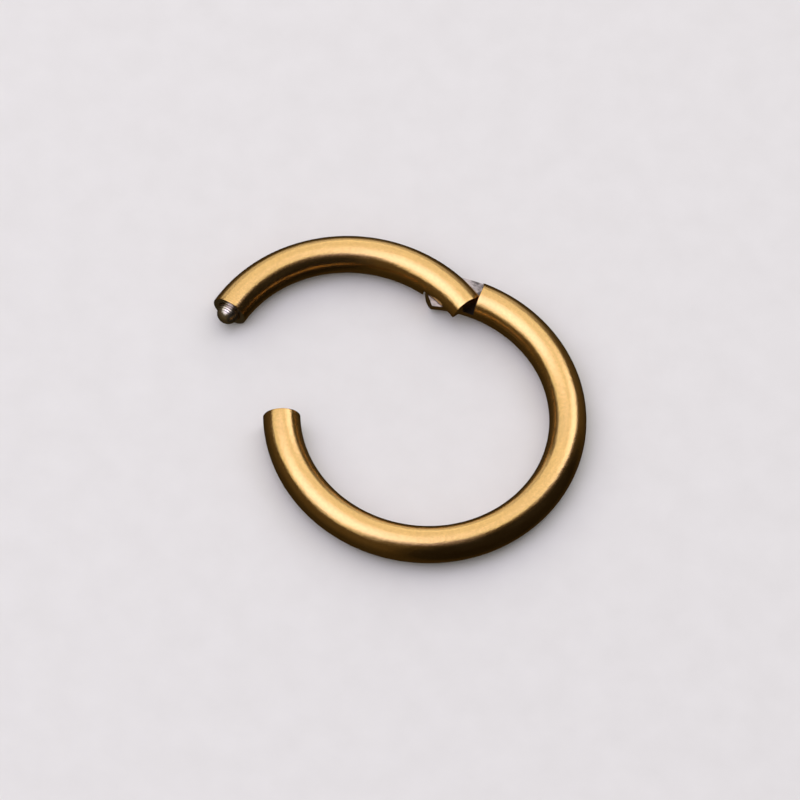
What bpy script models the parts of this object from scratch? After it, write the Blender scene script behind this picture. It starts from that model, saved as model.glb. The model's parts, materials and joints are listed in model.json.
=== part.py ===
"""Hinged segment ring: a round wire hoop with one segment that swings out on a half-lap hinge.

The hoop lies flat on the XY plane, as modelled here, with the segment swung open.
The origin is on the hoop's underside, at its point nearest to the viewer, below the wire's centreline.
+Z is up, +Y runs from the origin to the hoop's centre, and angles go round the hoop from +X.
"""
import math

import bmesh
import bpy
from mathutils import Matrix, Vector

MM = 0.001

# Driving dimensions, in metres and degrees
WIRE_DIAMETER = 1.2 * MM
INSIDE_DIAMETER = 8.0 * MM
HINGE_ANGLE = 83.75
FREE_END_ANGLE = 186.6
OPENING_ANGLE = 32.5

# Half-lap hinge: the pivot stands a little outside the wire's centreline, the lap above its middle
PIVOT_OUTSET = 0.22 * MM
LAP_RISE = 0.10 * MM
LAP_GAP = 0.04 * MM
TAB_EXTRA = 0.10 * MM
TIP_EXTRA = 0.07 * MM
TAB_CORNER_ANGLE = 30.0
TIP_CORNER_ANGLE = 10.0
SHOULDER_GAP = 0.035 * MM
RIVET_DIAMETER = 0.36 * MM
RIVET_CLEARANCE = 0.02 * MM
RIVET_COVER = 0.28 * MM
RIVET_RECESS = 0.01 * MM

# Click closure: a round-nosed pin in the segment's end and a socket in the hoop's free end
END_GAP = 0.03 * MM
PIN_DIAMETER = 0.72 * MM
PIN_LENGTH = 0.43 * MM
SHANK_LENGTH = 0.60 * MM
PIN_BORE_CLEARANCE = 0.02 * MM
SOCKET_CLEARANCE = 0.03 * MM
LEAD_IN_CLEARANCE = 0.015 * MM

# Fineness of the round shapes
WIRE_SIDES = 24
HOOP_STEPS = 100
HINGE_STEPS = 32
PIN_SIDES = 32
NOSE_STEPS = 8
SHARP_ANGLE = 35.0

# Derived sizes
WIRE_RADIUS = WIRE_DIAMETER / 2
HOOP_RADIUS = INSIDE_DIAMETER / 2 + WIRE_RADIUS
HOOP_CENTRE = Vector((0.0, HOOP_RADIUS, WIRE_RADIUS))
PIN_RADIUS = PIN_DIAMETER / 2
RIVET_RADIUS = RIVET_DIAMETER / 2
TAB_RADIUS = WIRE_RADIUS + PIVOT_OUTSET + TAB_EXTRA
TIP_RADIUS = WIRE_RADIUS + PIVOT_OUTSET + TIP_EXTRA
OVERRUN = 1.3 * max(TAB_RADIUS, TIP_RADIUS)
MARGIN = WIRE_RADIUS
LAP_LOW = WIRE_RADIUS + LAP_RISE - LAP_GAP / 2
LAP_HIGH = WIRE_RADIUS + LAP_RISE + LAP_GAP / 2


def outward(angle):
    """Unit vector from the hoop's centre at an angle in degrees."""
    turn = math.radians(angle)
    return Vector((math.cos(turn), math.sin(turn), 0.0))


def along(angle):
    """Unit vector along the wire at an angle, anticlockwise seen from above."""
    return outward(angle + 90.0)


def arc_angle(length):
    """Angle in degrees that a length takes up on the wire's centreline."""
    return math.degrees(length / HOOP_RADIUS)


SEGMENT_END_ANGLE = FREE_END_ANGLE - arc_angle(END_GAP)
PIVOT = HOOP_CENTRE + (HOOP_RADIUS + PIVOT_OUTSET) * outward(HINGE_ANGLE)
SEGMENT_END = HOOP_CENTRE + HOOP_RADIUS * outward(SEGMENT_END_ANGLE)
NOSE_CENTRE = SEGMENT_END + (PIN_LENGTH - PIN_RADIUS) * along(SEGMENT_END_ANGLE)


def clear_scene():
    """Remove every object that is in the scene."""
    for item in list(bpy.data.objects):
        bpy.data.objects.remove(item, do_unlink=True)


def new_collection(name):
    """Add an empty collection to the scene."""
    collection = bpy.data.collections.new(name)
    bpy.context.scene.collection.children.link(collection)
    return collection


def metal(name, colour, roughness):
    """Bare or plated metal as a Principled material."""
    material = bpy.data.materials.new(name)
    material.use_nodes = True
    shader = material.node_tree.nodes["Principled BSDF"]
    shader.inputs["Base Color"].default_value = (*colour, 1.0)
    shader.inputs["Roughness"].default_value = roughness
    shader.inputs["Metallic"].default_value = 1.0
    material.diffuse_color = (*colour, 1.0)
    return material


def object_from_bmesh(name, shape, collection):
    """Turn a finished bmesh into an object with smooth sides and sharp edges."""
    bmesh.ops.recalc_face_normals(shape, faces=shape.faces)
    mesh = bpy.data.meshes.new(name)
    shape.to_mesh(mesh)
    shape.free()
    mesh.shade_smooth()
    mesh.set_sharp_from_angle(angle=math.radians(SHARP_ANGLE))
    item = bpy.data.objects.new(name, mesh)
    collection.objects.link(item)
    return item


def wire_arc(name, start, end, radius, collection):
    """Round wire bent round the hoop's centre, flat across its top and bottom facets."""
    shape = bmesh.new()
    corner_radius = radius / math.cos(math.pi / WIRE_SIDES)
    section = bmesh.ops.create_circle(
        shape, cap_ends=True, radius=corner_radius, segments=WIRE_SIDES)
    half_facet = Matrix.Rotation(math.pi / WIRE_SIDES, 4, "Z")
    upright = Matrix.Rotation(math.radians(90.0), 4, "X")
    to_hoop = Matrix.Translation((HOOP_RADIUS, 0.0, 0.0))
    to_start = Matrix.Rotation(math.radians(start), 4, "Z")
    to_centre = Matrix.Translation(HOOP_CENTRE)
    placing = to_centre @ to_start @ to_hoop @ upright @ half_facet
    bmesh.ops.transform(shape, matrix=placing, verts=section["verts"])
    steps = max(2, round(HOOP_STEPS * abs(end - start) / 360.0))
    bmesh.ops.spin(
        shape, geom=shape.verts[:] + shape.edges[:] + shape.faces[:], cent=HOOP_CENTRE,
        axis=(0.0, 0.0, 1.0), angle=math.radians(end - start), steps=steps)
    return object_from_bmesh(name, shape, collection)


def hinge_point(across, out, height):
    """Point near the pivot: across the lap towards the hoop's long arc, out from its centre."""
    flat = PIVOT - across * along(HINGE_ANGLE) + out * outward(HINGE_ANGLE)
    return Vector((flat.x, flat.y, height))


def end_outline(radius, corner_angle, side):
    """Points of a lap's end on side +1 (long arc) or -1 (segment) of the pivot.

    It is round about the pivot on the hoop's outer side. From the corner angle on it runs straight,
    as a tangent, to beyond the hoop's inner side.
    """
    corner = math.radians(corner_angle)
    run = (OVERRUN - radius * math.sin(corner)) / math.cos(corner)
    across = radius * math.cos(corner) - run * math.sin(corner)
    points = [(side * across, -OVERRUN)]
    for i in range(HINGE_STEPS + 1):
        turn = (0.5 * math.pi + corner) * i / HINGE_STEPS - corner
        points.append((side * radius * math.cos(turn), radius * math.sin(turn)))
    return points


def prism(name, outline, low, high, collection):
    """Upright prism over an outline that is given from the pivot."""
    shape = bmesh.new()
    base = shape.faces.new([shape.verts.new(hinge_point(*point, low)) for point in outline])
    raised = bmesh.ops.extrude_face_region(shape, geom=[base], use_keep_orig=True)
    top = [item for item in raised["geom"] if isinstance(item, bmesh.types.BMVert)]
    bmesh.ops.translate(shape, verts=top, vec=(0.0, 0.0, high - low))
    return object_from_bmesh(name, shape, collection)


def block(side):
    """Corners of a block on one side of the pivot that is wider and longer than either lap."""
    reach = 2 * OVERRUN
    return [(0.0, reach), (side * reach, reach), (side * reach, -reach), (0.0, -reach)]


def pocket(name, end, side, low, high, collection):
    """Cutter for the room in which a lap's end turns: the end's outline, and a block behind it."""
    return prism(name, end_outline(*end, side) + block(-side), low, high, collection)


def rounding(name, end, side, low, high, collection):
    """Cutter that shapes a lap's end: a block with the end's outline taken out."""
    return prism(name, end_outline(*end, side) + block(side), low, high, collection)


def upright_cylinder(name, radius, low, high, collection):
    """Cylinder that stands on the pivot axis."""
    shape = bmesh.new()
    middle = Matrix.Translation((PIVOT.x, PIVOT.y, (low + high) / 2))
    bmesh.ops.create_cone(
        shape, cap_ends=True, segments=PIN_SIDES, radius1=radius, radius2=radius,
        depth=high - low, matrix=middle)
    return object_from_bmesh(name, shape, collection)


def round_nosed(name, radius, length, nose, direction, collection):
    """Turned pin with a ball nose: the nose's centre, the way it points, and the shank's length."""
    profile = []
    for i in range(NOSE_STEPS + 1):
        turn = math.radians(90.0) * i / NOSE_STEPS
        profile.append((radius * math.sin(turn), 0.0, radius * math.cos(turn)))
    profile += [(radius, 0.0, -length), (0.0, 0.0, -length)]
    mesh = bpy.data.meshes.new(name)
    mesh.from_pydata(profile, [(i, i + 1) for i in range(len(profile) - 1)], [])
    item = bpy.data.objects.new(name, mesh)
    collection.objects.link(item)
    item.location = nose
    item.rotation_euler = direction.to_track_quat("Z", "Y").to_euler()
    turned = item.modifiers.new("turned", "SCREW")
    turned.steps = PIN_SIDES
    turned.render_steps = PIN_SIDES
    turned.use_merge_vertices = True
    turned.merge_threshold = 0.001 * radius
    turned.use_smooth_shade = True
    return item


def boolean(item, cutter, operation):
    """Cut an object by a cutter, or keep only what lies inside it."""
    modifier = item.modifiers.new(cutter.name, "BOOLEAN")
    modifier.operation = operation
    modifier.object = cutter
    cutter.hide_render = True
    cutter.display_type = "WIRE"


def build_hoop(parts, cutters, gold):
    """Long arc of the hoop, with the hinge's lower tab and the socket in its free end."""
    start = FREE_END_ANGLE - 360.0
    arc = wire_arc("ring_arc", start, HINGE_ANGLE + arc_angle(OVERRUN), WIRE_RADIUS, parts)
    arc.data.materials.append(gold)
    boolean(arc, pocket(
        "ring_lap_pocket", (TIP_RADIUS + SHOULDER_GAP, TIP_CORNER_ANGLE), 1, LAP_LOW,
        WIRE_DIAMETER + MARGIN, cutters), "DIFFERENCE")
    boolean(arc, rounding(
        "ring_tab_rounding", (TAB_RADIUS, TAB_CORNER_ANGLE), -1, -MARGIN, WIRE_DIAMETER + MARGIN,
        cutters), "DIFFERENCE")
    boolean(arc, upright_cylinder(
        "ring_rivet_hole", RIVET_RADIUS + RIVET_CLEARANCE, -MARGIN, WIRE_DIAMETER, cutters),
        "DIFFERENCE")
    closing = Vector((PIVOT.y - NOSE_CENTRE.y, NOSE_CENTRE.x - PIVOT.x, 0.0)).normalized()
    for name, clearance, direction in (
            ("socket_bore", SOCKET_CLEARANCE, along(SEGMENT_END_ANGLE)),
            ("socket_lead_in", LEAD_IN_CLEARANCE, closing)):
        boolean(arc, round_nosed(
            name, PIN_RADIUS + clearance, WIRE_DIAMETER, NOSE_CENTRE, direction, cutters),
            "DIFFERENCE")
    return arc


def build_rivet(parts, cutters, steel):
    """Blind rivet of the hinge, ground flush with the round underside of the tab."""
    top = WIRE_DIAMETER - RIVET_COVER - RIVET_CLEARANCE
    rivet = upright_cylinder("hinge_rivet", RIVET_RADIUS, -MARGIN, top, parts)
    rivet.data.materials.append(steel)
    reach = arc_angle(OVERRUN)
    boolean(rivet, wire_arc(
        "rivet_trim", HINGE_ANGLE - reach, HINGE_ANGLE + reach, WIRE_RADIUS - RIVET_RECESS,
        cutters), "INTERSECT")
    return rivet


def build_segment(parts, cutters, gold):
    """Swinging segment, drawn closed: upper half of the lap at one end, the pin's bore at the other."""
    start = HINGE_ANGLE - arc_angle(OVERRUN)
    segment = wire_arc("segment", start, SEGMENT_END_ANGLE, WIRE_RADIUS, parts)
    segment.data.materials.append(gold)
    lap_pocket = pocket(
        "segment_lap_pocket", (TAB_RADIUS + SHOULDER_GAP, TAB_CORNER_ANGLE), -1, -MARGIN, LAP_HIGH,
        cutters)
    tip_rounding = rounding(
        "segment_tip_rounding", (TIP_RADIUS, TIP_CORNER_ANGLE), 1, -MARGIN, WIRE_DIAMETER + MARGIN,
        cutters)
    rivet_hole = upright_cylinder(
        "segment_rivet_hole", RIVET_RADIUS + RIVET_CLEARANCE, -MARGIN,
        WIRE_DIAMETER - RIVET_COVER, cutters)
    bore_length = SHANK_LENGTH + PIN_BORE_CLEARANCE
    pin_bore = round_nosed(
        "segment_pin_bore", PIN_RADIUS + PIN_BORE_CLEARANCE,
        bore_length + PIN_LENGTH - PIN_RADIUS, NOSE_CENTRE, along(SEGMENT_END_ANGLE), cutters)
    for cutter in (lap_pocket, tip_rounding, rivet_hole, pin_bore):
        boolean(segment, cutter, "DIFFERENCE")
    return [segment, lap_pocket, tip_rounding, rivet_hole, pin_bore]


def build_click_pin(parts, steel):
    """Bare steel pin pressed into the segment's end, its ball nose standing out."""
    shank = SHANK_LENGTH + PIN_LENGTH - PIN_RADIUS
    pin = round_nosed(
        "click_pin", PIN_RADIUS, shank, NOSE_CENTRE, along(SEGMENT_END_ANGLE), parts)
    pin.data.materials.append(steel)
    return pin


def swing_open(items, collection):
    """Hang the moving pieces on an empty on the hinge's axis and turn it to the open position."""
    axis = bpy.data.objects.new("segment_axis", None)
    collection.objects.link(axis)
    axis.location = PIVOT
    axis.rotation_euler = (0.0, 0.0, -math.radians(OPENING_ANGLE))
    for item in items:
        item.parent = axis
        item.matrix_parent_inverse = Matrix.Translation(-PIVOT)


def main():
    """Build the ring, its hinge and its click pin."""
    clear_scene()
    parts = new_collection("segment_ring")
    cutters = new_collection("segment_ring_cutters")
    gold = metal("satin_gold", (0.80, 0.56, 0.24), 0.28)
    steel = metal("bare_steel", (0.74, 0.72, 0.69), 0.30)
    build_hoop(parts, cutters, gold)
    build_rivet(parts, cutters, steel)
    moving = build_segment(parts, cutters, gold)
    moving.append(build_click_pin(parts, steel))
    swing_open(moving, parts)


main()
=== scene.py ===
"""Looks of the hinged segment ring: smooth rounded wire, satin gold, bare steel, soft studio light.

Lengths are in metres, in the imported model's frame, and angles in degrees go round the hoop from +X.
Each visible piece is built here at full fineness with broken edges and stands for one node.
"""
import json
import math

import bmesh
import bpy
import numpy as np
from mathutils import Matrix, Vector, noise


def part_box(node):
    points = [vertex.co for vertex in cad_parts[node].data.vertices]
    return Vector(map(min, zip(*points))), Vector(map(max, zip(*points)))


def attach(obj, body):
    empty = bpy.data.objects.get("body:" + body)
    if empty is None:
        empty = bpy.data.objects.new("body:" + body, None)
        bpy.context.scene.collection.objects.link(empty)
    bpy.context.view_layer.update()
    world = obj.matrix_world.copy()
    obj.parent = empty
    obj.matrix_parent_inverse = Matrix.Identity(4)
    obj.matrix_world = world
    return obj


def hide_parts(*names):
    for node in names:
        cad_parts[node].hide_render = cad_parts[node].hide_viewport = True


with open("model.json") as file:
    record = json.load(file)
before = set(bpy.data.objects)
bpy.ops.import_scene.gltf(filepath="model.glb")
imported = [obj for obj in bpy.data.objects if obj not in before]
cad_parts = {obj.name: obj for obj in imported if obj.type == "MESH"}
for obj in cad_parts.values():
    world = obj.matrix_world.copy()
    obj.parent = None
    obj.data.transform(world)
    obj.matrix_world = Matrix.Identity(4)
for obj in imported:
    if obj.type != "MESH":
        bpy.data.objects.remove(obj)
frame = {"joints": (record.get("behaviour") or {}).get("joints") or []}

MM = 0.001
UP = Vector((0.0, 0.0, 1.0))
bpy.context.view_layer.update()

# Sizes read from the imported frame
RING_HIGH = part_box("ring_arc")[1]
HINGE = frame["joints"][0]
PIVOT = Vector(HINGE["pos_m"])
PIVOT_FOOT = Vector((PIVOT.x, PIVOT.y, 0.0))
OPENING_ANGLE = -HINGE["range_deg"][0]
WIRE_RADIUS = RING_HIGH.z / 2
HOOP_RADIUS = RING_HIGH.x - WIRE_RADIUS
HOOP_CENTRE = Vector((0.0, HOOP_RADIUS, WIRE_RADIUS))
PIVOT_RADIUS = (PIVOT - HOOP_CENTRE).length
PIVOT_OUTSET = PIVOT_RADIUS - HOOP_RADIUS
HINGE_ANGLE = math.degrees(math.atan2(PIVOT.y - HOOP_CENTRE.y, PIVOT.x - HOOP_CENTRE.x))

# Sizes of the joint and the closure, as the solids have them
FREE_END_ANGLE = 186.6
LAP_RISE = 0.10 * MM
LAP_GAP = 0.04 * MM
TAB_EXTRA = 0.10 * MM
TIP_EXTRA = 0.07 * MM
TAB_CORNER_ANGLE = 30.0
TIP_CORNER_ANGLE = 10.0
SHOULDER_GAP = 0.035 * MM
RIVET_RADIUS = 0.18 * MM
RIVET_CLEARANCE = 0.02 * MM
RIVET_COVER = 0.28 * MM
RIVET_RECESS = 0.01 * MM
END_GAP = 0.03 * MM
PIN_RADIUS = 0.36 * MM
PIN_LENGTH = 0.43 * MM
SHANK_LENGTH = 0.60 * MM
PIN_BORE_CLEARANCE = 0.02 * MM
SOCKET_CLEARANCE = 0.03 * MM
LEAD_IN_CLEARANCE = 0.015 * MM

# Sizes that follow from them
TAB_REACH = WIRE_RADIUS + PIVOT_OUTSET + TAB_EXTRA
TIP_REACH = WIRE_RADIUS + PIVOT_OUTSET + TIP_EXTRA
LAP_HEIGHT = WIRE_RADIUS + LAP_RISE
RIVET_HOLE_RADIUS = RIVET_RADIUS + RIVET_CLEARANCE
RIVET_HOLE_TOP = 2 * WIRE_RADIUS - RIVET_COVER
NOSE_REACH = PIN_LENGTH - PIN_RADIUS

# Finish of the shapes: broken edges and turning grooves
END_ROUNDING = 0.02 * MM
LAP_ROUNDING = 0.018 * MM
BORE_CHAMFER = 0.03 * MM
RIVET_CHAMFER = 0.02 * MM
GROOVES = 4
GROOVE_PITCH = 0.050 * MM
GROOVE_DEPTH = 0.0025 * MM

# Slight unevenness of bent wire. It fades over a third of the body at the plain end and over a
# tenth at the lap, and the wire beside the lap is truly round.
WAVE_DEPTH = 0.0035 * MM
WAVE_LENGTH = 1.3 * MM
WAVE_AROUND = 0.6
FADES_AT_END = 3
FADES_AT_LAP = 10
TRUE_STRETCH = 3 * WIRE_RADIUS

# Fineness
HALF_SECTION_STEPS = 48
BODY_STEP_ANGLE = 1.2
LAP_STEPS = 14
ROUNDING_STEPS = 5
WALL_STEPS = 3
TURNED_STEPS = 64
BORE_END_STEPS = 12
NOSE_STEPS = 40
GROOVE_STEPS = 8
RIVET_END_RINGS = 6
MERGE_DISTANCE = 1e-5 * MM
SHARP_ANGLE = 32.0

# Camera: the view that the photograph was taken from, at its scale
VIEW_ELEVATION = 62.28
VIEW_ROLL = 6.0
VIEW_ANGLE = 4.0
VIEW_POINT = Vector((-0.85, 5.11, 0.60)) * MM
PIXELS_PER_METRE = 31140.0
IMAGE_PIXELS = 800

# Places of the materials on both arcs, after the wire's own at 0
FLAT_SLOT = 1
END_SLOT = 2

# Studio
LIGHT_HEIGHT = 0.30
FLOOR_SIZE = 3.0


def outward(angle):
    """Unit vector from the hoop's centre at an angle in degrees."""
    turn = math.radians(angle)
    return Vector((math.cos(turn), math.sin(turn), 0.0))


def along(angle):
    """Unit vector along the wire at an angle, anticlockwise seen from above."""
    return outward(angle + 90.0)


def arc_angle(length):
    """Angle in degrees that a length takes up on the wire's centreline."""
    return math.degrees(length / HOOP_RADIUS)


def closed_to_open():
    """Transform that swings the segment from its closed place, where it is drawn, to its open one."""
    turn = Matrix.Rotation(-math.radians(OPENING_ANGLE), 4, "Z")
    return Matrix.Translation(PIVOT) @ turn @ Matrix.Translation(-PIVOT)


SEGMENT_END_ANGLE = FREE_END_ANGLE - arc_angle(END_GAP)
SEGMENT_END = HOOP_CENTRE + HOOP_RADIUS * outward(SEGMENT_END_ANGLE)
PIN_DIRECTION = along(SEGMENT_END_ANGLE)
NOSE_CENTRE = SEGMENT_END + NOSE_REACH * PIN_DIRECTION


def smooth_step(x):
    """Ease from 0 to 1 as x goes from 0 to 1."""
    x = min(1.0, max(0.0, x))
    return x * x * (3.0 - 2.0 * x)


def wire_point(angle, around, radius=WIRE_RADIUS):
    """Point on the wire: angle round the hoop in degrees, angle round the section in radians."""
    reach = HOOP_RADIUS + radius * math.cos(around)
    return HOOP_CENTRE + reach * outward(angle) + Vector((0.0, 0.0, radius * math.sin(around)))


def waviness(angle, around):
    """How far the surface lies below the true round there, as a share of the full depth."""
    run = math.radians(angle) * HOOP_RADIUS / WAVE_LENGTH
    place = Vector((run, WAVE_AROUND * math.cos(around), WAVE_AROUND * math.sin(around)))
    return 0.5 + 0.5 * noise.noise(place)


def meeting_angle(around, reach, corner_angle):
    """Degrees from the pivot at which a line along the wire meets an end's outline.

    The outline is a circle about the pivot, and a tangent from its corner angle on, inwards.
    """
    line = HOOP_RADIUS + WIRE_RADIUS * math.cos(around)
    cosine = (line ** 2 + PIVOT_RADIUS ** 2 - reach ** 2) / (2 * line * PIVOT_RADIUS)
    angle = math.acos(min(1.0, cosine))
    corner = math.radians(corner_angle)
    if math.atan2(PIVOT_RADIUS - line * math.cos(angle), line * math.sin(angle)) > corner:
        angle = corner + math.asin((reach - PIVOT_RADIUS * math.sin(corner)) / line)
    return math.degrees(angle)


def mesh_from(name, shape):
    """Mesh of a closed bmesh with its faces pointing outwards."""
    bmesh.ops.recalc_face_normals(shape, faces=shape.faces)
    if shape.calc_volume(signed=True) < 0:
        bmesh.ops.reverse_faces(shape, faces=shape.faces)
    mesh = bpy.data.meshes.new(name)
    shape.to_mesh(mesh)
    shape.free()
    return mesh


def new_object(name, mesh, materials):
    """Add an object with a mesh and its materials to the scene."""
    item = bpy.data.objects.new(name, mesh)
    bpy.context.scene.collection.objects.link(item)
    for material in materials:
        mesh.materials.append(material)
    return item


def lap_wire(side, tongue, end_angle, shoulder_end, tongue_end, lap_height):
    """Mesh of a wire arc with a plain end and half a lap hinge at the pivot.

    side is +1 where the arc lies at angles below the pivot's, else -1. tongue is +1 where the
    upper part reaches past the pivot, else -1. The shoulder's and the tongue's ends are given as
    a reach from the pivot and a corner angle. Columns are lines along the wire.
    """
    outer = math.asin((lap_height - WIRE_RADIUS) / WIRE_RADIUS)
    inner = math.pi - outer
    steps = HALF_SECTION_STEPS
    section = [outer + (inner - outer) * i / steps for i in range(steps)]
    section += [inner + (2 * math.pi + outer - inner) * i / steps for i in range(steps)]
    count = len(section)
    upper = list(range(steps + 1))
    lower = [(steps + i) % count for i in range(steps + 1)]
    tongue_columns, shoulder_columns = (upper, lower) if tongue > 0 else (lower, upper)

    def place(away, around, radius=WIRE_RADIUS):
        """Point on the wire at degrees away from the pivot, on the arc's own side."""
        return wire_point(HINGE_ANGLE - side * away, around, radius)

    end_away = side * (HINGE_ANGLE - end_angle)
    body_start = end_away - arc_angle(END_ROUNDING)
    body_end = meeting_angle(outer, *shoulder_end) + arc_angle(TRUE_STRETCH)
    body_steps = round((body_start - body_end) / BODY_STEP_ANGLE)
    corner = {j: meeting_angle(section[j], *shoulder_end) for j in shoulder_columns}
    first, last = tongue_columns[0], tongue_columns[-1]
    for i, j in enumerate(tongue_columns):
        corner[j] = corner[first] + (corner[last] - corner[first]) * i / steps

    def rim(j):
        """Rounding of the edge between the wire and an upright wall, none where the wall ends."""
        height = abs(WIRE_RADIUS + WIRE_RADIUS * math.sin(section[j]) - lap_height)
        return min(LAP_ROUNDING, 0.5 * height)

    def over_edge(away, j):
        """Points from the wire over a rounded edge and along the upright wall to the lap's plane."""
        edge = place(away, section[j])
        size = rim(j)
        further_back = place(away + 1.0, section[j])
        back = (further_back - edge).normalized()
        wall = lap_height - edge.z
        inwards = Vector((0.0, 0.0, math.copysign(1.0, wall)))
        points = []
        for i in range(1, ROUNDING_STEPS + 1):
            turn = 0.5 * math.pi * i / ROUNDING_STEPS
            points.append(
                edge + back * size * (1 - math.sin(turn)) + inwards * size * (1 - math.cos(turn)))
        for i in range(1, WALL_STEPS + 1):
            share = i / WALL_STEPS
            drop = math.copysign(size, wall) * (1 - share) + wall * share
            points.append(Vector((edge.x, edge.y, edge.z + drop)))
        return points

    shared, onward = [], {}
    for j, around in enumerate(section):
        column = []
        for i in range(ROUNDING_STEPS + 1):
            turn = 0.5 * math.pi * (1 - i / ROUNDING_STEPS)
            radius = WIRE_RADIUS - END_ROUNDING * (1 - math.cos(turn))
            column.append(place(end_away - arc_angle(END_ROUNDING * (1 - math.sin(turn))), around, radius))
        for i in range(1, body_steps + 1):
            away = body_start + (body_end - body_start) * i / body_steps
            ease = smooth_step(FADES_AT_END * i / body_steps)
            ease *= smooth_step(FADES_AT_LAP * (1 - i / body_steps))
            depth = WAVE_DEPTH * ease * waviness(HINGE_ANGLE - side * away, around)
            column.append(place(away, around, WIRE_RADIUS - depth))
        stop = corner[j]
        if j in shoulder_columns:
            stop += arc_angle(rim(j))
        for i in range(1, LAP_STEPS + 1):
            column.append(place(body_end + (stop - body_end) * i / LAP_STEPS, around))
        shared.append(column)
    for j in shoulder_columns:
        onward[("shoulder", j)] = over_edge(corner[j], j)
    for j in tongue_columns:
        tip = -meeting_angle(section[j], *tongue_end)
        stop = tip + arc_angle(rim(j))
        points = [place(corner[j] + (stop - corner[j]) * i / LAP_STEPS, section[j])
                  for i in range(1, LAP_STEPS + 1)]
        onward[("tongue", j)] = points + over_edge(tip, j)

    shape = bmesh.new()
    grid = [[shape.verts.new(point) for point in column] for column in shared]
    beyond = {key: [shape.verts.new(point) for point in points] for key, points in onward.items()}
    plain_face = shape.faces.new([column[0] for column in grid])
    plain_face.material_index = END_SLOT

    def strip(left, right):
        """Faces between two columns of points."""
        for a, b, c, d in zip(left, left[1:], right[1:], right):
            shape.faces.new((a, b, c, d))

    for j in range(count):
        strip(grid[j], grid[(j + 1) % count])
    for kind, columns in (("shoulder", shoulder_columns), ("tongue", tongue_columns)):
        for j, k in zip(columns, columns[1:]):
            strip([grid[j][-1]] + beyond[(kind, j)], [grid[k][-1]] + beyond[(kind, k)])
    outline = [beyond[("shoulder", j)][-1] for j in shoulder_columns]
    outline += beyond[("tongue", first)]
    outline += [beyond[("tongue", j)][-1] for j in tongue_columns[1:-1]]
    outline += beyond[("tongue", last)][::-1]
    flat = shape.faces.new(outline)
    flat.material_index = FLAT_SLOT
    bmesh.ops.remove_doubles(shape, verts=shape.verts, dist=MERGE_DISTANCE)
    bmesh.ops.dissolve_degenerate(shape, edges=shape.edges, dist=MERGE_DISTANCE)
    return mesh_from("lap_wire", shape)


def turned(name, profile, place, direction, materials=()):
    """Closed turned body: profile of (radius, height) from the axis at one end to the axis at the other."""
    shape = bmesh.new()
    turns = [2 * math.pi * i / TURNED_STEPS for i in range(TURNED_STEPS)]
    rings = []
    for radius, height in profile:
        if radius == 0.0:
            rings.append([shape.verts.new((0.0, 0.0, height))])
        else:
            rings.append([
                shape.verts.new((radius * math.cos(t), radius * math.sin(t), height)) for t in turns])
    for one, two in zip(rings, rings[1:]):
        for i in range(TURNED_STEPS):
            k = (i + 1) % TURNED_STEPS
            corners = [one[i % len(one)], one[k % len(one)], two[k % len(two)], two[i % len(two)]]
            shape.faces.new(list(dict.fromkeys(corners)))
    matrix = Matrix.Translation(place) @ direction.to_track_quat("Z", "Y").to_matrix().to_4x4()
    bmesh.ops.transform(shape, matrix=matrix, verts=shape.verts)
    return new_object(name, mesh_from(name, shape), materials)


def straight_hole(radius, low, high):
    """Profile of a plain round hole's cutter."""
    return [(0.0, low), (radius, low), (radius, high), (0.0, high)]


def ball_nose(radius, steps):
    """Profile of a half ball about the origin, from its tip to its widest ring."""
    turns = [0.5 * math.pi * i / steps for i in range(steps + 1)]
    return [(radius * math.sin(turn) if turn else 0.0, radius * math.cos(turn)) for turn in turns]


def bore(radius, length, mouth=None):
    """Profile of a ball-ended bore's cutter, flared at the height of its mouth if that is given."""
    profile = ball_nose(radius, BORE_END_STEPS)
    if mouth is not None:
        profile.append((radius, mouth + BORE_CHAMFER))
        radius += 2 * BORE_CHAMFER
        profile.append((radius, mouth - BORE_CHAMFER))
    return profile + [(radius, -length), (0.0, -length)]


def cut(item, *cutters):
    """Take cutters out of an object's mesh for good, and remove them."""
    for cutter in cutters:
        modifier = item.modifiers.new(cutter.name, "BOOLEAN")
        modifier.operation = "DIFFERENCE"
        modifier.object = cutter
    depsgraph = bpy.context.evaluated_depsgraph_get()
    result = bpy.data.meshes.new_from_object(
        item.evaluated_get(depsgraph), preserve_all_data_layers=True, depsgraph=depsgraph)
    item.modifiers.clear()
    item.data = result
    for cutter in cutters:
        bpy.data.objects.remove(cutter)


def finish_surface(item):
    """Smooth the sides, keep sharp edges, and weight the normals by the faces' size."""
    item.data.shade_smooth()
    item.data.set_sharp_from_angle(angle=math.radians(SHARP_ANGLE))
    weighted = item.modifiers.new("weighted_normals", "WEIGHTED_NORMAL")
    weighted.keep_sharp = True


def store(mesh, name, vectors):
    """Store a vector for each point of a mesh."""
    attribute = mesh.attributes.new(name, "FLOAT_VECTOR", "POINT")
    attribute.data.foreach_set("vector", np.asarray(vectors, dtype=np.float32).ravel())


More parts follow.
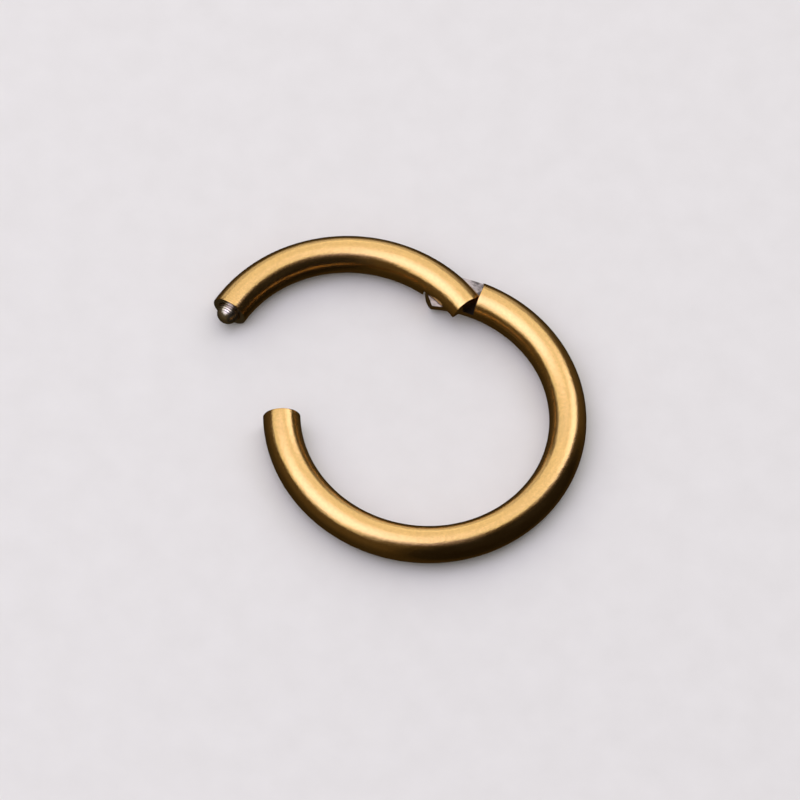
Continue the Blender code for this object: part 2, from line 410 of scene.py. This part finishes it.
def store_places(item, end_angle, side):
    """Store each point's place on the straightened wire and in the hinge, in millimetres.

    On the wire X runs along it from its plain end, Y and Z lie in its section. In the hinge X runs
    across the lap from the pivot towards the piece's own shoulder, Y outwards from the hoop.
    """
    mesh = item.data
    points = np.empty(len(mesh.vertices) * 3)
    mesh.vertices.foreach_get("co", points)
    points = points.reshape(-1, 3) - np.array(HOOP_CENTRE)
    angle = np.degrees(np.arctan2(points[:, 1], points[:, 0]))
    # A point just past the plain end counts as slightly below 0 and not as nearly 360 degrees
    spare = 10.0
    turn = (side * (angle - end_angle) + spare) % 360.0 - spare
    store(mesh, "wire_place", np.stack([
        np.radians(turn) * HOOP_RADIUS,
        np.hypot(points[:, 0], points[:, 1]) - HOOP_RADIUS,
        points[:, 2]], axis=1) / MM)
    from_pivot = points - np.array(PIVOT - HOOP_CENTRE)
    store(mesh, "hinge_place", np.stack([
        from_pivot @ np.array(-side * along(HINGE_ANGLE)),
        from_pivot @ np.array(outward(HINGE_ANGLE)),
        points[:, 2]], axis=1) / MM)


def store_axis_places(item, origin, direction):
    """Store each point's place along and across an axis, in millimetres, for the turned steel."""
    turn = direction.to_track_quat("X", "Z").to_matrix().to_4x4()
    flat = (Matrix.Translation(origin) @ turn).inverted()
    store(item.data, "wire_place", [(flat @ vertex.co) / MM for vertex in item.data.vertices])


class Nodes:
    """Small helper that adds and links the nodes of one tree."""

    def __init__(self, tree):
        self.tree = tree

    def fill(self, socket, value):
        """Link a socket to an input, or set the input to a value."""
        if isinstance(value, bpy.types.NodeSocket):
            self.tree.links.new(value, socket)
        else:
            socket.default_value = value

    def add(self, kind, inputs=(), **settings):
        """Add a node, set its properties, and fill its inputs with values or other sockets."""
        node = self.tree.nodes.new(kind)
        for key, value in settings.items():
            setattr(node, key, value)
        for key, value in dict(inputs).items():
            self.fill(node.inputs[key], value)
        return node

    def math(self, operation, *values):
        """Result of a Math node on values or sockets."""
        return self.add("ShaderNodeMath", enumerate(values), operation=operation).outputs[0]

    def total(self, *terms):
        """Sum of sockets, each times its weight."""
        parts = [self.math("MULTIPLY", socket, weight) for socket, weight in terms]
        whole = parts[0]
        for part in parts[1:]:
            whole = self.math("ADD", whole, part)
        return whole

    def remap(self, value, low, high, to_low, to_high):
        """Value carried from one range to another, eased and clamped."""
        return self.add("ShaderNodeMapRange", {
            "Value": value, "From Min": low, "From Max": high, "To Min": to_low, "To Max": to_high},
            interpolation_type="SMOOTHSTEP").outputs[0]

    def split(self, vector):
        """X, Y and Z of a vector."""
        return self.add("ShaderNodeSeparateXYZ", {"Vector": vector}).outputs

    def stretched(self, vector, scale):
        """Vector multiplied by a scale along each axis."""
        return self.add(
            "ShaderNodeMapping", {"Vector": vector, "Scale": scale}, vector_type="POINT").outputs[0]

    def noise(self, vector, scale, detail=3.0, roughness=0.5):
        """Noise texture's value at a vector."""
        return self.add("ShaderNodeTexNoise", {
            "Vector": vector, "Scale": scale, "Detail": detail, "Roughness": roughness}).outputs[0]

    def wave(self, vector, scale, distortion, detail_scale):
        """Value of soft lines that follow each other along X."""
        return self.add("ShaderNodeTexWave", {
            "Vector": vector, "Scale": scale, "Distortion": distortion,
            "Detail": 2.0, "Detail Scale": detail_scale}, bands_direction="X").outputs["Fac"]

    def mix(self, factor, one, two):
        """Mix of two colours, each a socket or red, green and blue."""
        node = self.add("ShaderNodeMix", data_type="RGBA")
        self.fill(node.inputs[0], factor)
        for socket, colour in ((node.inputs[6], one), (node.inputs[7], two)):
            self.fill(socket, colour if isinstance(colour, bpy.types.NodeSocket) else (*colour, 1.0))
        return node.outputs[2]


class Finish(Nodes):
    """Nodes of one new material, which read the places stored on the mesh in millimetres."""

    def __init__(self, name):
        self.material = bpy.data.materials.new(name)
        self.material.use_nodes = True
        super().__init__(self.material.node_tree)

    def stored(self, name):
        """Vector stored on the mesh under a name."""
        return self.add("ShaderNodeAttribute", attribute_name=name).outputs["Vector"]

    def shade(self, **inputs):
        """Fill inputs of the Principled shader."""
        shader = self.tree.nodes["Principled BSDF"]
        for key, value in inputs.items():
            self.fill(shader.inputs[key.replace("_", " ")], value)

    def metal(self, colour, rough, relief, depth):
        """Make the material a metal whose relief has a depth in metres."""
        bump = self.add("ShaderNodeBump", {"Strength": 1.0, "Distance": depth, "Height": relief})
        self.shade(Base_Color=colour, Metallic=1.0, Roughness=rough, Normal=bump.outputs["Normal"])
        return self.material


def satin_gold():
    """Gold plating on tumbled wire: faint streaks along the wire, fine mottling, lathe lines at the end."""
    bright, pale = (0.985, 0.625, 0.225), (0.930, 0.600, 0.245)
    mottled, streaked = (0.52, 0.29, 0.09), (0.60, 0.36, 0.13)
    speckled, scored = (0.50, 0.26, 0.07), (0.50, 0.28, 0.09)
    n = Finish("satin_gold")
    place = n.stored("wire_place")
    streaks = n.noise(n.stretched(place, (0.9, 12.0, 12.0)), 1.0, 4.0, 0.6)
    patches = n.noise(n.stretched(place, (0.6, 1.6, 1.6)), 1.0, 2.0)
    speckle = n.noise(place, 34.0, 2.0, 0.6)
    tumbled = n.noise(place, 9.0, 4.0, 0.75)
    dents = n.noise(n.stretched(place, (2.2, 4.0, 4.0)), 1.0, 2.0)
    near_end = n.remap(n.split(place)["X"], 0.10, 0.70, 1.0, 0.0)
    lines = n.math("MULTIPLY", n.wave(n.stretched(place, (1.0, 0.02, 0.02)), 3.4, 0.6, 3.0), near_end)
    colour = n.mix(patches, bright, pale)
    colour = n.mix(n.remap(tumbled, 0.34, 0.66, 0.17, 0.0), colour, mottled)
    colour = n.mix(n.remap(streaks, 0.36, 0.66, 0.10, 0.0), colour, streaked)
    colour = n.mix(n.remap(speckle, 0.62, 0.80, 0.0, 0.30), colour, speckled)
    colour = n.mix(n.math("MULTIPLY", lines, 0.08), colour, scored)
    rough = n.remap(streaks, 0.25, 0.75, 0.14, 0.22)
    rough = n.math("ADD", rough, n.remap(patches, 0.3, 0.7, -0.02, 0.03))
    relief = n.total((streaks, 0.5), (speckle, 0.2), (tumbled, 1.0), (dents, 1.5), (lines, 0.2))
    return n.metal(colour, rough, relief, 0.0038 * MM)


def bare_steel():
    """Ground steel of the lap's flat faces: grinding lines, smudges, and painted shade towards the
    shoulder.

    The painted shade is darkest in the shoulder's inner corner.
    """
    # The near-black colour serves both for the smudges and for the painted shade by the shoulder.
    ground, worn, smudge_and_shade_colour = (0.60, 0.53, 0.50), (0.46, 0.41, 0.39), (0.012, 0.010, 0.009)
    n = Finish("bare_steel")
    place = n.stored("hinge_place")
    across, out = n.split(place)["X"], n.split(place)["Y"]
    lines = n.noise(n.stretched(place, (3.0, 42.0, 1.0)), 1.0, 4.0, 0.65)
    smudge = n.noise(n.stretched(place, (3.4, 5.0, 1.0)), 1.0, 3.0, 0.6)
    # Painted shade: the flat is darkened towards the shoulder's wall and most in its inner corner, on top
    # of random smudges.
    painted_shade_by_shoulder = n.remap(across, 0.25, 0.75, 0.0, 0.42)
    painted_shade_in_corner = n.math(
        "MULTIPLY", n.remap(across, 0.30, 0.50, 0.0, 1.0), n.remap(out, -0.10, -0.30, 0.0, 1.0))
    smudge_and_painted_shade = n.math("ADD", painted_shade_by_shoulder, n.remap(smudge, 0.35, 0.62, -0.25, 0.36))
    smudge_and_painted_shade = n.math("ADD", smudge_and_painted_shade, painted_shade_in_corner)
    colour = n.mix(n.remap(lines, 0.35, 0.65, 0.0, 1.0), ground, worn)
    colour = n.mix(n.math("MINIMUM", n.math("MAXIMUM", smudge_and_painted_shade, 0.0), 1.0), colour, smudge_and_shade_colour)
    rough = n.remap(lines, 0.3, 0.7, 0.24, 0.40)
    return n.metal(colour, rough, lines, 0.003 * MM)


def faced_steel():
    """Bare steel of the segment's end face: fine rings round the wire's centre from the facing cut."""
    clean, dull = (0.80, 0.74, 0.68), (0.60, 0.55, 0.51)
    grain_per_mm = 60.0
    n = Finish("faced_steel")
    section = n.stretched(n.stored("wire_place"), (0.0, 1.0, 1.0))
    radius = n.add("ShaderNodeVectorMath", {0: section}, operation="LENGTH").outputs["Value"]
    run = n.add("ShaderNodeCombineXYZ", {"X": n.math("MULTIPLY", radius, grain_per_mm)}).outputs[0]
    rings = n.noise(run, 1.0)
    colour = n.mix(n.noise(section, 4.0, 3.0, 0.6), clean, dull)
    rough = n.remap(rings, 0.3, 0.7, 0.14, 0.22)
    return n.metal(colour, rough, rings, 0.001 * MM)


def turned_steel():
    """Turned steel of the pin and the rivet: fine rings round the axis, and painted shade in dark lines at
    the pin's root.
    """
    clean, dull = (0.92, 0.83, 0.68), (0.80, 0.72, 0.60)
    ringed, painted_groove_shade = (0.36, 0.33, 0.31), (0.16, 0.13, 0.12)
    n = Finish("turned_steel")
    place = n.stored("wire_place")
    rings = n.noise(n.stretched(place, (26.0, 1.5, 1.5)), 1.0, 3.0, 0.6)
    # Painted shade: dark lines near the pin's root stand for the shade in its turning grooves.
    lines = n.wave(n.stretched(place, (1.0, 0.1, 0.1)), 4.2, 0.4, 2.0)
    by_root = n.remap(n.split(place)["X"], 0.12, 0.22, 1.0, 0.0)
    lines = n.math("MULTIPLY", n.remap(lines, 0.25, 0.55, 0.80, 0.0), by_root)
    colour = n.mix(n.noise(place, 5.0, 3.0, 0.6), clean, dull)
    colour = n.mix(n.remap(rings, 0.38, 0.56, 0.30, 0.0), colour, ringed)
    colour = n.mix(lines, colour, painted_groove_shade)
    rough = n.remap(rings, 0.3, 0.7, 0.27, 0.20)
    return n.metal(colour, rough, rings, 0.003 * MM)


def build_ring_arc(gold, ground):
    """Long arc of the hoop, with the tab under the hinge and the socket in its free end."""
    end_angle = FREE_END_ANGLE - 360.0
    mesh = lap_wire(
        1, -1, end_angle, (TIP_REACH + SHOULDER_GAP, TIP_CORNER_ANGLE), (TAB_REACH, TAB_CORNER_ANGLE),
        LAP_HEIGHT - LAP_GAP / 2)
    arc = new_object("ring_arc_wire", mesh, (gold, ground, gold))
    hole = turned(
        "tab_hole", straight_hole(RIVET_HOLE_RADIUS, -WIRE_RADIUS, 2 * WIRE_RADIUS), PIVOT_FOOT, UP)
    socket = turned(
        "socket", bore(PIN_RADIUS + SOCKET_CLEARANCE, 2 * WIRE_RADIUS, END_GAP - NOSE_REACH),
        NOSE_CENTRE, PIN_DIRECTION)
    closing = Vector((PIVOT.y - NOSE_CENTRE.y, NOSE_CENTRE.x - PIVOT.x, 0.0)).normalized()
    lead_in = turned(
        "lead_in", bore(PIN_RADIUS + LEAD_IN_CLEARANCE, 2 * WIRE_RADIUS), NOSE_CENTRE, closing)
    cut(arc, hole, socket, lead_in)
    store_places(arc, end_angle, 1)
    finish_surface(arc)
    return arc


def build_segment(gold, ground, faced):
    """Swinging segment: tip over the hinge's tab, bore for the pin in its other end."""
    mesh = lap_wire(
        -1, 1, SEGMENT_END_ANGLE, (TAB_REACH + SHOULDER_GAP, TAB_CORNER_ANGLE),
        (TIP_REACH, TIP_CORNER_ANGLE), LAP_HEIGHT + LAP_GAP / 2)
    segment = new_object("segment_wire", mesh, (gold, ground, faced))
    hole = turned("tip_hole", straight_hole(RIVET_HOLE_RADIUS, 0.0, RIVET_HOLE_TOP), PIVOT_FOOT, UP)
    depth = SHANK_LENGTH + PIN_BORE_CLEARANCE
    start = NOSE_CENTRE - (NOSE_REACH + depth) * PIN_DIRECTION
    radius = PIN_RADIUS + PIN_BORE_CLEARANCE
    pin_bore = turned("pin_bore", [
        (0.0, 0.0), (radius, 0.0), (radius, depth - BORE_CHAMFER),
        (radius + 2 * BORE_CHAMFER, depth + BORE_CHAMFER), (0.0, depth + BORE_CHAMFER)],
        start, PIN_DIRECTION)
    cut(segment, hole, pin_bore)
    store_places(segment, SEGMENT_END_ANGLE, -1)
    finish_surface(segment)
    segment.data.transform(closed_to_open())
    return segment


def build_click_pin(steel):
    """Ball-nosed pin in the segment's end, with fine turning grooves at its root."""
    root = -NOSE_REACH
    first = root + GROOVES * GROOVE_PITCH
    profile = [point for point in ball_nose(PIN_RADIUS, NOSE_STEPS) if point[1] > first]
    for i in range(GROOVE_STEPS * GROOVES + 1):
        height = first - GROOVE_PITCH * i / GROOVE_STEPS
        radius = math.sqrt(PIN_RADIUS ** 2 - max(0.0, height) ** 2)
        sink = GROOVE_DEPTH * (0.5 - 0.5 * math.cos(2 * math.pi * i / GROOVE_STEPS))
        profile.append((radius - sink, height))
    profile += [(PIN_RADIUS, root - SHANK_LENGTH), (0.0, root - SHANK_LENGTH)]
    pin = turned("click_pin_turned", profile, NOSE_CENTRE, PIN_DIRECTION, (steel,))
    store_axis_places(pin, NOSE_CENTRE, PIN_DIRECTION)
    finish_surface(pin)
    pin.data.transform(closed_to_open())
    return pin


def build_hinge_rivet(steel):
    """Blind rivet on the pivot, its lower end ground to the wire's round underside."""
    top = RIVET_HOLE_TOP - RIVET_CLEARANCE
    profile = [(RIVET_RADIUS * i / RIVET_END_RINGS, 0.0) for i in range(RIVET_END_RINGS + 1)]
    profile += [(RIVET_RADIUS, top - RIVET_CHAMFER), (RIVET_RADIUS - RIVET_CHAMFER, top), (0.0, top)]
    rivet = turned("hinge_rivet_ground", profile, PIVOT_FOOT, UP, (steel,))
    ground = WIRE_RADIUS - RIVET_RECESS
    for vertex in rivet.data.vertices:
        if vertex.co.z < 0.5 * WIRE_RADIUS:
            offset = (vertex.co - HOOP_CENTRE).to_2d().length - HOOP_RADIUS
            vertex.co.z = WIRE_RADIUS - math.sqrt(ground ** 2 - offset ** 2)
    store_axis_places(rivet, PIVOT, UP)
    finish_surface(rivet)
    return rivet


def build_camera():
    """Long-lens camera above and in front of the ring, turned a little about its own axis."""
    data = bpy.data.cameras.new("camera")
    data.angle = math.radians(VIEW_ANGLE)
    distance = IMAGE_PIXELS / 2 / math.tan(data.angle / 2) / PIXELS_PER_METRE
    data.clip_start = 0.1 * distance
    data.clip_end = 100 * distance
    camera = bpy.data.objects.new("camera", data)
    bpy.context.scene.collection.objects.link(camera)
    turn = Matrix.Rotation(math.radians(90.0 - VIEW_ELEVATION), 4, "X")
    turn = turn @ Matrix.Rotation(math.radians(VIEW_ROLL), 4, "Z")
    camera.matrix_world = Matrix.Translation(VIEW_POINT) @ turn @ Matrix.Translation((0, 0, distance))
    bpy.context.scene.camera = camera


def softbox(name, centre, size, radiance, rotation, soft, tint=(1.0, 1.0, 1.0)):
    """Rectangular area light that fades towards its edges over a soft share of its half width.

    It looks straight down before its rotation, whose angles are in degrees.
    """
    data = bpy.data.lights.new(name, "AREA")
    data.shape = "RECTANGLE"
    data.size, data.size_y = size
    data.energy = radiance * math.pi * size[0] * size[1]
    data.color = tint
    data.use_nodes = True
    n = Nodes(data.node_tree)
    place = n.split(n.add("ShaderNodeNewGeometry").outputs["Parametric"])
    fade = []
    for axis in ("X", "Y"):
        from_middle = n.math("ABSOLUTE", n.math("SUBTRACT", place[axis], 0.5))
        fade.append(n.remap(from_middle, 0.5, 0.5 * (1.0 - soft), 0.0, 1.0))
    n.fill(n.tree.nodes["Emission"].inputs["Strength"], n.math("MULTIPLY", *fade))
    lamp = bpy.data.objects.new(name, data)
    bpy.context.scene.collection.objects.link(lamp)
    lamp.location = centre
    lamp.rotation_euler = [math.radians(angle) for angle in rotation]
    lamp.visible_camera = False


def build_lights():
    """Large softbox overhead, two smaller bluish ones just below it, and a low panel behind."""
    target = Vector((0.0, HOOP_RADIUS, 0.0))

    def overhead(x, y, rise=1.0):
        """Place above the hoop, in shares of the lights' height."""
        return target + Vector((x, y, 1.0)) * LIGHT_HEIGHT * rise

    def sized(x, y):
        """Width and depth in shares of the lights' height."""
        return x * LIGHT_HEIGHT, y * LIGHT_HEIGHT

    softbox(
        "overhead", overhead(-0.52, 0.75), sized(3.7, 2.6),
        radiance=0.84, rotation=(0.0, 0.0, 44.0), soft=0.12)
    softbox(
        "left_glow", overhead(-0.50, -0.15, 0.96), sized(1.7, 1.4),
        radiance=0.70, rotation=(0.0, 0.0, 15.0), soft=0.8, tint=(1.0, 0.98, 1.9))
    softbox(
        "right_glow", overhead(0.84, 0.72, 0.93), sized(1.3, 0.9),
        radiance=0.66, rotation=(0.0, 0.0, 44.0), soft=0.6, tint=(1.0, 0.98, 1.6))
    softbox(
        "low_back", target + Vector((-0.30, 0.9, 0.22)), (1.8, 0.60),
        radiance=0.55, rotation=(-90.0, 0.0, 0.0), soft=0.6)


def build_surroundings():
    """Even grey light from all around, of which the metal mirrors only a dim brown.

    The brown is darker low down, and darkest towards the front right.
    """
    grey, dark, brown = (0.42, 0.42, 0.43), (0.010, 0.007, 0.003), (0.070, 0.049, 0.020)
    back_left = (-0.8, 0.6, 0.0)
    world = bpy.data.worlds.new("surroundings")
    bpy.context.scene.world = world
    world.use_nodes = True
    n = Nodes(world.node_tree)
    direction = n.add("ShaderNodeTexCoord").outputs["Generated"]
    sideways = n.add("ShaderNodeVectorMath", {0: direction, 1: back_left}, operation="DOT_PRODUCT")
    share = n.math(
        "MULTIPLY", n.remap(sideways.outputs["Value"], -0.65, -0.35, 0.0, 1.0),
        n.remap(n.split(direction)["Z"], -0.7, 0.1, 0.35, 1.0))
    mirrored = n.mix(share, dark, brown)
    glossy = n.add("ShaderNodeLightPath").outputs["Is Glossy Ray"]
    n.fill(n.tree.nodes["Background"].inputs["Color"], n.mix(glossy, grey, mirrored))


def build_floor():
    """Plain pale floor, which the metal doesn't mirror."""
    finish = Finish("pale_floor")
    grain = finish.noise(finish.add("ShaderNodeTexCoord").outputs["Object"], 900.0, 3.0)
    finish.shade(Base_Color=finish.mix(grain, (0.72, 0.69, 0.62), (0.78, 0.75, 0.68)), Roughness=0.75)
    bpy.ops.mesh.primitive_plane_add(size=FLOOR_SIZE, location=(0.0, 0.0, 0.0))
    floor = bpy.context.object
    floor.name = "floor"
    floor.data.materials.append(finish.material)
    floor.visible_glossy = False


gold_finish = satin_gold()
ground_finish = bare_steel()
faced_finish = faced_steel()
turned_finish = turned_steel()
arc_piece = build_ring_arc(gold_finish, ground_finish)
rivet_piece = build_hinge_rivet(turned_finish)
segment_piece = build_segment(gold_finish, ground_finish, faced_finish)
pin_piece = build_click_pin(turned_finish)
for piece, node, body, slot in (
        (arc_piece, "ring_arc", "ring", "gold_plated_steel"),
        (rivet_piece, "hinge_rivet", "ring", "bare_steel"),
        (segment_piece, "segment", "swing_segment", "gold_plated_steel"),
        (pin_piece, "click_pin", "swing_segment", "bare_steel")):
    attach(piece, body)
    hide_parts(node)
build_camera()
build_lights()
build_surroundings()
build_floor()
bpy.context.scene.view_settings.view_transform = "Standard"
